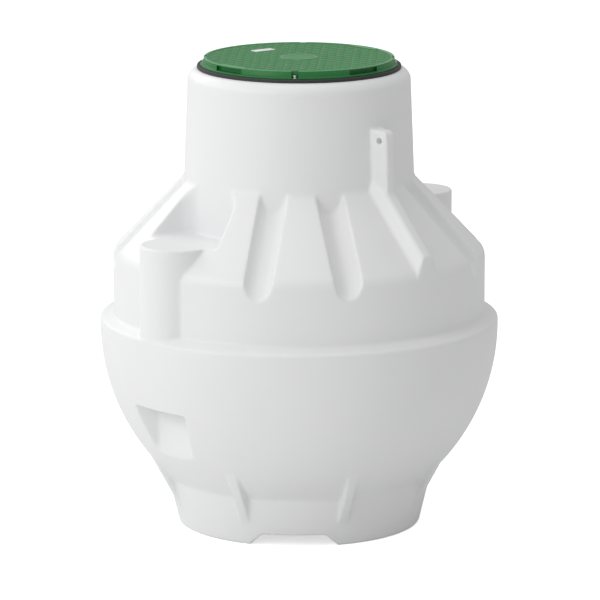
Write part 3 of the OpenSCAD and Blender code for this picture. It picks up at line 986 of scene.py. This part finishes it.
@dataclass
class Cover:
    """The round green cover with grips, notches, tread and a bare plate."""

    low_z: float = 2.214
    height: float = 0.036
    radius: float = 0.453
    wall: float = 0.006
    flange_w: float = 0.017
    flange_t: float = 0.007
    edge_rise: float = 0.003
    edge_w: float = 0.014
    grip_w: float = 0.176
    grip_d: float = 0.024
    pad_w: float = 0.044
    pad_h: float = 0.0022
    medallion_r: float = 0.089
    medallion_h: float = 0.002
    ribs: int = 8
    rib_h: float = 0.014
    notch_w: float = 0.032
    notch_floor: float = 0.003
    screw_at: float = 0.456
    seal_in: float = 0.424
    tread_x: float = 0.039
    tread_y: float = 0.028
    lug: tuple[float, float, float] = (0.035, 0.018, 0.0026)
    lug_lean: float = 12.0
    plate_size: Point = (0.115, 0.048)
    plate_at: Point = (-0.181, 0.203)
    plate_turn: float = 39.0
    plate_t: float = 0.0016
    plate_corner: float = 0.005
    plate_edge: float = 0.0005
    pad_angles: tuple[float, float] = (-45.0, 135.0)
    hole_r: float = 0.0055
    soft: float = 0.0016
    hair: float = 0.001
    over: float = 0.010
    step: float = 0.002
    seal_gap: float = 0.004
    flange_slope: float = 0.003
    medallion_rim: float = 0.010
    dish: float = 0.7
    grip_floor: float = 0.001
    grip_roof: float = 0.003
    lug_crown: Point = (0.8, 0.45)
    lug_edge: float = 0.0009
    tread_gap: float = 0.018
    notch_gap: float = 0.045
    plate_gap: Point = (0.014, 0.012)
    pad_gap: Point = (0.014, 0.012)

    @property
    def plate_h(self) -> float:
        """Height of the flat plate above the foot of the cover."""
        return self.height - self.edge_rise

    @property
    def tread_z(self) -> float:
        """Height of the flat plate that carries the tread."""
        return self.low_z + self.plate_h

    def block(self, width: float, deep: float, low: float, high: float, angle: float) -> bmesh.types.BMesh:
        """Block in the edge of the cover, for notches, grips and the walls around them."""
        out = 2 * self.flange_w
        middle = (0, -self.radius - out + (out + deep) / 2, self.low_z + (low + high) / 2)
        return box((width, out + deep, high - low), turned(angle) @ Matrix.Translation(middle))

    def turned_part(self) -> bpy.types.Object:
        """Plate, side wall, flange, raised edge and the disc in the middle."""
        r, h, e, plate = self.radius, self.height, self.edge_w, self.plate_h
        inner, flange, skirt = r - self.wall, r + self.flange_w, self.seal_in + self.seal_gap
        m, disc = self.medallion_r, plate + self.medallion_h
        dish = plate + self.medallion_h * self.dish
        corners = [(0.0, plate - self.wall), (inner, plate - self.wall), (inner, self.flange_t),
                   (skirt, self.flange_t), (skirt, 0.0), (flange, 0.0), (flange, self.flange_t),
                   (r, self.flange_t + self.flange_slope), (r, h), (r - e, h), (r - e - self.step, plate),
                   (m + self.step, plate), (m, disc), (m - self.medallion_rim, disc),
                   (m - self.medallion_rim - self.step, dish), (0.0, dish)]
        outline: list[Point] = [corners[0]]
        for before, at, after in zip(corners, corners[1:], corners[2:]):
            reach = min((Vector(at) - Vector(p)).length for p in (before, after))
            outline += rounded(before, at, after, min(self.soft, reach * 0.45), 3)
        outline.append(corners[-1])
        return stand_in(revolve([(x, z + self.low_z) for x, z in outline], 288), "cover_shell")

    def webs(self) -> bmesh.types.BMesh:
        """Walls around the notches and grips and the stiffening ribs, all under the plate."""
        w, hair, inside = self.wall, self.hair, self.radius - self.screw_at + self.notch_w / 2
        top, rib = self.plate_h - hair, self.rib_h - hair
        parts = [self.block(self.notch_w + 2 * w, inside + w, 0, top, a) for a in QUARTERS]
        parts += [self.block(self.grip_w + 2 * w, self.grip_d + w, self.flange_t - hair, top, a + 45)
                  for a in QUARTERS]
        middle = Matrix.Translation(UP * (self.low_z + self.plate_h - (self.rib_h + hair) / 2))
        parts += [box((2 * self.radius, w, rib), turned(360 / self.ribs * (k + 0.5)) @ middle)
                  for k in range(self.ribs // 2)]
        walls = stand_in(parts[0], "walls")
        combine(walls, Cut.JOIN, parts[1:])
        inner = drum(self.radius - w / 2, self.height, Matrix.Translation(UP * self.low_z), sides=192)
        combine(walls, Cut.KEEP_COMMON, [inner])
        return taken(walls)

    def shell(self) -> bpy.types.Object:
        """The whole cover but its tread and plate, with grips, notches and screw holes cut."""
        shell = self.turned_part()
        inside = self.radius - self.screw_at + self.notch_w / 2
        combine(shell, Cut.JOIN, [self.webs(), *[self.pad(a) for a in self.pad_angles]])
        clear = self.height + self.over
        combine(shell, Cut.TAKE_AWAY, [self.block(self.notch_w, inside, self.notch_floor, clear, a)
                                       for a in QUARTERS])
        combine(shell, Cut.TAKE_AWAY, [self.block(self.grip_w, self.grip_d, self.flange_t + self.grip_floor,
                                                  self.plate_h - self.grip_roof, a + 45) for a in QUARTERS])
        place = Matrix.Translation((0, -self.screw_at, self.low_z - self.flange_t))
        combine(shell, Cut.TAKE_AWAY, [drum(self.hole_r, 2 * self.flange_t, turned(a) @ place, sides=32)
                                       for a in QUARTERS])
        smooth_below(shell, 30)
        return shell

    def pad(self, angle: float) -> bmesh.types.BMesh:
        """Plain raised strip above a grip, trimmed to the round edge."""
        inner, outer = self.radius - self.pad_w, self.radius - self.edge_w / 2
        half = self.grip_w / 2
        lean = math.degrees(math.asin(half / outer))
        rim = arc((0.0, 0.0), outer, -90 - lean, -90 + lean, 12)
        middle = Matrix.Translation(UP * (self.tread_z + (self.pad_h - self.hair) / 2))
        return prism([*rim, (half, -inner), (-half, -inner)], self.hair + self.pad_h, turned(angle) @ middle)

    def bare(self, x: float, y: float) -> bool:
        """Whether a place on the plate is kept free of tread: its middle, pads, notches and plate."""
        reach, free = math.hypot(x, y), self.tread_gap
        if reach < self.medallion_r + free or reach > self.radius - self.edge_w - free:
            return True
        lean = math.radians(self.plate_turn)
        dx, dy = x - self.plate_at[0], y - self.plate_at[1]
        along, across = dx * math.cos(lean) + dy * math.sin(lean), dy * math.cos(lean) - dx * math.sin(lean)
        long, wide = (size / 2 + gap for size, gap in zip(self.plate_size, self.plate_gap))
        if abs(along) < long and abs(across) < wide:
            return True
        for turn in map(math.radians, QUARTERS):
            away = x - self.screw_at * math.sin(turn), y + self.screw_at * math.cos(turn)
            if math.hypot(*away) < self.notch_gap:
                return True
        strip_in, strip_half = self.radius - self.pad_w - self.pad_gap[0], self.grip_w / 2 + self.pad_gap[1]
        for turn in map(math.radians, self.pad_angles):
            out, side = x * math.sin(turn) - y * math.cos(turn), x * math.cos(turn) + y * math.sin(turn)
            if out > strip_in and abs(side) < strip_half:
                return True
        return False

    def tread(self) -> bpy.types.Object:
        """Rows of short raised lugs that lean to either side in turn."""
        long, wide, high = self.lug
        one = box((long, wide, 2 * high), Matrix())
        bmesh.ops.scale(one, vec=(*self.lug_crown, 1), verts=[v for v in one.verts if v.co.z > 0])
        chamfer(one, [e for e in one.edges if max(v.co.z for v in e.verts) > 0], self.lug_edge, 1)
        lug = bpy.data.meshes.new("lug")
        one.to_mesh(lug)
        one.free()
        shape = bmesh.new()
        columns, rows = int(self.radius / self.tread_x) + 1, int(self.radius / self.tread_y) + 1
        for i in range(-columns, columns + 1):
            for j in range(-rows, rows + 1):
                x, y = i * self.tread_x, (j + 0.5 * (i % 2)) * 2 * self.tread_y
                if abs(y) > self.radius or self.bare(x, y):
                    continue
                known = len(shape.verts)
                shape.from_mesh(lug)
                shape.verts.ensure_lookup_table()
                lean = turned(self.lug_lean if i % 2 else -self.lug_lean)
                place = Matrix.Translation((x, y, self.tread_z)) @ lean
                bmesh.ops.transform(shape, verts=shape.verts[known:], matrix=place)
        bpy.data.meshes.remove(lug)
        tread = stand_in(shape, "cover_tread")
        smooth_below(tread, 25)
        return tread

    def plate(self) -> bpy.types.Object:
        """The bare plate near the back, a thin bevelled card on the cover."""
        thick = self.plate_t
        shape = box((*self.plate_size, thick),
                    Matrix.Translation((*self.plate_at, self.tread_z + thick / 2)) @ turned(self.plate_turn))
        upright = [e for e in shape.edges if abs(e.verts[0].co.z - e.verts[1].co.z) > thick / 2]
        chamfer(shape, upright, self.plate_corner, 5)
        chamfer(shape, edges_above(shape, self.tread_z + thick / 2), self.plate_edge, 2)
        plate = stand_in(tidy(shape), "cover_plate")
        smooth_below(plate, 40)
        return plate

    def build(self, plastic: bpy.types.Material, film: bpy.types.Material) -> list[Piece]:
        """Builds and dresses the cover."""
        return [Piece(self.shell(), Body.COVER, "cover_plastic", plastic, ("cover",)),
                Piece(self.tread(), Body.COVER, "cover_plastic", plastic),
                Piece(self.plate(), Body.COVER, "cover_plastic", film)]


@dataclass
class Screws:
    """The four cover screws, each in its notch."""

    base_z: float = 2.217
    at: float = 0.456
    head_r: float = 0.010
    flange_t: float = 0.003
    hex_r: float = 0.0065
    head_h: float = 0.012
    shank_r: float = 0.005
    length: float = 0.045
    threads: int = 20
    pitch: float = 0.0015
    groove: float = 0.0007
    bevel: float = 0.001
    head_edge: float = 0.0012
    names: tuple[str, ...] = ("front", "right", "back", "left")

    def one(self, angle: float) -> bmesh.types.BMesh:
        """One screw: shank with a grooved thread, domed flange and chamfered six-sided head."""
        low, r, out = -self.length, self.shank_r, self.head_r
        thread = [(0.0, low), (r - self.bevel, low), (r, low + self.bevel)]
        for k in range(self.threads):
            z = low + self.bevel + (k + 0.5) * self.pitch
            thread += [(r - self.groove, z), (r, z + self.pitch / 2)]
        flange = [(r, 0.0), (out, 0.0), (out, self.flange_t * 0.45),
                  (out - self.flange_t / 2, self.flange_t), (0.0, self.flange_t)]
        shape = revolve([*thread, *flange], 32)
        head = drum(self.hex_r, self.head_h, Matrix.Translation(UP * self.flange_t), sides=6)
        chamfer(head, edges_above(head, self.flange_t + self.head_h / 2), self.head_edge, 2)
        whole = bpy.data.meshes.new("head")
        head.to_mesh(whole)
        head.free()
        shape.from_mesh(whole)
        bpy.data.meshes.remove(whole)
        place = turned(angle) @ Matrix.Translation((0, -self.at, self.base_z))
        bmesh.ops.transform(shape, verts=shape.verts, matrix=place)
        return shape

    def build(self, material: bpy.types.Material) -> list[Piece]:
        """Builds and dresses all four screws."""
        pieces = []
        for angle, name in zip(QUARTERS, self.names):
            screw = stand_in(self.one(angle), f"cover_screw_{name}")
            smooth_below(screw, 35)
            pieces.append(Piece(screw, Body.COVER, "screw_steel", material, (f"screw_{name}",)))
        return pieces


# ---------------------------------------------------------------- the studio


@dataclass
class Studio:
    """Pale floor, white surroundings, soft lamps and the camera."""

    azimuth: float = 2.5
    elevation: float = 11.75
    distance: float = 23.3
    aim_z: float = 1.0695
    lens: float = 291.72
    shift: float = 0.0015
    floor_colour: Colour = (0.90, 0.90, 0.90)
    around: float = 0.53
    floor_lift: float = 0.62
    lamp_distance: float = 13.5
    lamps: tuple[tuple[str, float, float, float, float], ...] = (
        ("key", -45.0, 25.0, 6.0, 460.0), ("left", -95.0, 30.0, 6.0, 270.0),
        ("top", 0.0, 88.0, 8.0, 330.0), ("back", -140.0, 30.0, 6.0, 300.0))

    def camera(self) -> None:
        """Makes the camera at the photograph's viewing angle."""
        data = bpy.data.cameras.new("camera")
        data.sensor_width, data.sensor_fit, data.clip_end = 36.0, "HORIZONTAL", 200.0
        data.lens, data.shift_x = self.lens, self.shift
        made = bpy.data.objects.new("camera", data)
        turn, tilt = math.radians(self.azimuth), math.radians(self.elevation)
        back = Vector((math.sin(turn) * math.cos(tilt), -math.cos(turn) * math.cos(tilt), math.sin(tilt)))
        made.location = UP * self.aim_z + back * self.distance
        made.rotation_euler = back.to_track_quat("Z", "Y").to_euler()
        bpy.context.scene.collection.objects.link(made)
        bpy.context.scene.camera = made

    def lamp(self, name: str, turn: float, rise: float, size: float, power: float) -> None:
        """Makes one square soft lamp that looks at the middle of the tank.

        Args:
            name: Name of the lamp.
            turn: Its angle about the tank, counted from the camera in degrees.
            rise: Its angle above the ground in degrees.
            size: Length of its side in metres.
            power: Its power in watts.
        """
        data = bpy.data.lights.new(name, "AREA")
        data.shape, data.size, data.energy = "SQUARE", size, power
        made = bpy.data.objects.new(name, data)
        around, up = math.radians(turn + self.azimuth), math.radians(rise)
        away = Vector((math.sin(around) * math.cos(up), -math.cos(around) * math.cos(up), math.sin(up)))
        made.location = UP + away * self.lamp_distance
        made.rotation_euler = away.to_track_quat("Z", "Y").to_euler()
        bpy.context.scene.collection.objects.link(made)

    def surroundings(self) -> None:
        """White background for camera and transmission rays, a plain even light for everything else."""
        world = bpy.data.worlds.new("surroundings")
        world.use_nodes = True
        tree = world.node_tree
        tree.nodes.clear()
        path = tree.nodes.new("ShaderNodeLightPath")
        seen = tree.nodes.new("ShaderNodeMath")
        seen.operation, seen.use_clamp = "ADD", True
        tree.links.new(path.outputs["Is Camera Ray"], seen.inputs[0])
        tree.links.new(path.outputs["Is Transmission Ray"], seen.inputs[1])
        level = tree.nodes.new("ShaderNodeMapRange")
        level.inputs["To Min"].default_value, level.inputs["To Max"].default_value = self.around, 1.0
        tree.links.new(seen.outputs[0], level.inputs["Value"])
        light = tree.nodes.new("ShaderNodeBackground")
        light.inputs["Color"].default_value = (1, 1, 1, 1)
        tree.links.new(level.outputs["Result"], light.inputs["Strength"])
        tree.links.new(light.outputs[0], tree.nodes.new("ShaderNodeOutputWorld").inputs["Surface"])
        bpy.context.scene.world = world

    def floor(self) -> None:
        """Large pale floor that keeps the tank's shadow."""
        shape = bmesh.new()
        bmesh.ops.create_circle(shape, cap_ends=True, segments=96, radius=60.0)
        floor = stand_in(shape, "floor")
        graph = Graph("floor_paint")
        grain = graph.noise(3.0, 3.0)
        colour = graph.blend(grain, tuple(0.99 * c for c in self.floor_colour), self.floor_colour)
        matt = graph.node("ShaderNodeBsdfDiffuse", None, {"Color": colour})
        glow = graph.node("ShaderNodeEmission", None, {"Color": (1.0, 1.0, 1.0), "Strength": 1.0})
        path = graph.node("ShaderNodeLightPath")
        seen = Value(graph, path.outputs["Is Camera Ray"]) * self.floor_lift
        both = graph.node("ShaderNodeAddShader")
        dim = graph.node("ShaderNodeMixShader", None, {0: seen})
        graph.tree.links.new(matt.outputs[0], dim.inputs[1])
        graph.tree.links.new(both.outputs[0], dim.inputs[2])
        graph.tree.links.new(matt.outputs[0], both.inputs[0])
        graph.tree.links.new(glow.outputs[0], both.inputs[1])
        graph.node("ShaderNodeOutputMaterial", None, {"Surface": dim.outputs[0]})
        floor.data.materials.append(graph.material)

    def build(self) -> None:
        """Sets up floor, light and camera, and the plain way of showing colours."""
        self.camera()
        self.floor()
        self.surroundings()
        for name, turn, rise, size, power in self.lamps:
            self.lamp(name, turn, rise, size, power)
        bpy.context.scene.view_settings.view_transform = "Standard"


def main() -> None:
    """Builds the studio and every sub-assembly in order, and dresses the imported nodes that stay."""
    Studio().build()
    shell, plastic = MouldedShell().make(), CoverPlastic().make()
    steel = PlainMetal("screw_steel", (0.62, 0.61, 0.60), (0.48, 0.48, 0.48), 0.28).make()
    brass = PlainMetal("insert_brass", (0.72, 0.52, 0.22), (0.50, 0.36, 0.16), 0.32).make()
    pieces = [*Moulding().build(shell), *Seal().build(SealRubber().make()),
              *Cover().build(plastic, PlateFilm().make()), *Screws().build(steel)]
    for piece in pieces:
        piece.hand_over()
    for name in ("insert_front", "insert_right", "insert_back", "insert_left"):
        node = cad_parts[name]
        for material_slot in node.material_slots:
            material_slot.material = brass


if __name__ == "__main__":
    logging.basicConfig(level=logging.INFO, format="%(name)s: %(message)s")
    main()
